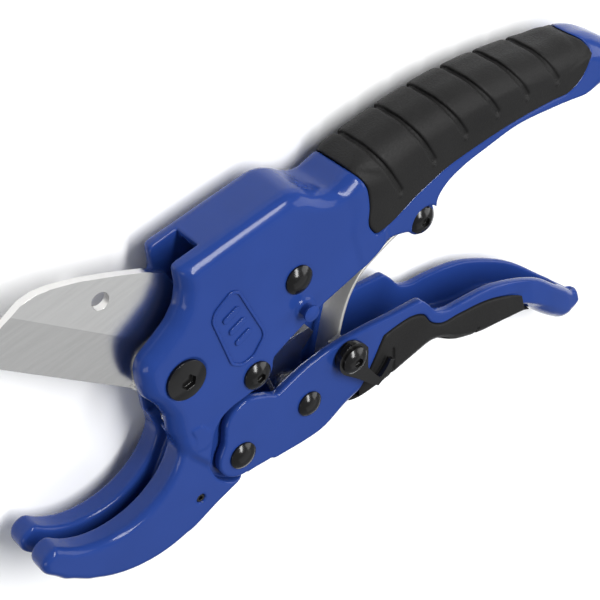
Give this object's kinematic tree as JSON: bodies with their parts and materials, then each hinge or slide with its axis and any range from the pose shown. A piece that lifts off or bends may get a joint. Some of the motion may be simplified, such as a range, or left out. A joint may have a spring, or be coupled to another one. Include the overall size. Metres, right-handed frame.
{
  "type": "pipe cutter",
  "caption": "Ratchet pipe cutter with a hooked jaw, a swinging steel blade, a sprung lower handle with pawls, rubber grips and a closing latch.",
  "frame": {"origin": "centre of the largest pipe held in the jaw, half-way through the blade's thickness", "axes": "+X along the tool from the jaw towards the handles, +Y from the jaw towards the top of the housing, +Z along the pivots towards the side with the screw heads and the latch"},
  "size_m": [0.2372, 0.1582, 0.03],
  "materials": {
    "paint": "gloss",
    "rubber": "matte",
    "steel": "satin",
    "black_steel": "satin",
    "brass": "satin"
  },
  "bodies": {
    "frame": {"main_casting": "paint", "upper_grip": "rubber", "blade_bush": "brass", "blade_washers": "brass", "blade_pivot_screw": "black_steel", "blade_pivot_nut": "black_steel", "blade_return_spring": "steel", "hold_pawl_rivet": "black_steel", "hold_pawl_spacers": "steel", "hold_pawl_spring": "steel", "stop_screw": "black_steel", "stop_sleeve": "steel", "stop_nut": "black_steel", "leaf_spring": "steel", "leaf_screw": "black_steel", "leaf_nut": "black_steel", "latch_peg": "paint", "jaw_pin": "black_steel"},
    "blade": {"blade": "steel"},
    "lower_handle": {"lower_handle": "paint", "lower_grip": "rubber", "handle_rivet": "black_steel", "drive_pawl_rivet": "black_steel", "drive_pawl_spacers": "steel", "drive_pawl_spring": "steel", "latch_collar": "black_steel", "latch_screw": "black_steel", "latch_nut": "steel"},
    "drive_pawl": {"drive_pawl": "steel"},
    "hold_pawl": {"hold_pawl": "steel"},
    "latch": {"latch": "black_steel"}
  },
  "joints": [
    {"name": "handle_hinge", "type": "hinge", "parent": "frame", "child": "lower_handle", "pos_m": [0.0365, -0.0295, 0], "axis": [0, 0, 1], "range_deg": [0, 21.5], "stiffness_Nm_per_rad": 3, "springref_deg": -11.46, "deforming": ["leaf_spring"]},
    {"name": "blade_hinge", "type": "hinge", "parent": "frame", "child": "blade", "pos_m": [0.03, 0.0125, 0], "axis": [0, 0, 1], "range_deg": [0, 94], "stiffness_Nm_per_rad": 0.1, "springref_deg": -28.65},
    {"name": "drive_pawl_hinge", "type": "hinge", "parent": "lower_handle", "child": "drive_pawl", "pos_m": [0.0625, -0.0305, 0], "axis": [0, 0, 1], "range_deg": [-26, 1]},
    {"name": "hold_pawl_hinge", "type": "hinge", "parent": "frame", "child": "hold_pawl", "pos_m": [0.0725, 0.0165, 0], "axis": [0, 0, 1], "range_deg": [-8, 0], "stiffness_Nm_per_rad": 0.05, "springref_deg": 11.46},
    {"name": "latch_hinge", "type": "hinge", "parent": "lower_handle", "child": "latch", "pos_m": [0.08, -0.024, 0.0128], "axis": [0, 0, 1], "range_deg": [0, 130]}
  ],
  "couplings": [
    {"joint": "drive_pawl_hinge", "follows": "handle_hinge", "ratio": -1.084}
  ]
}
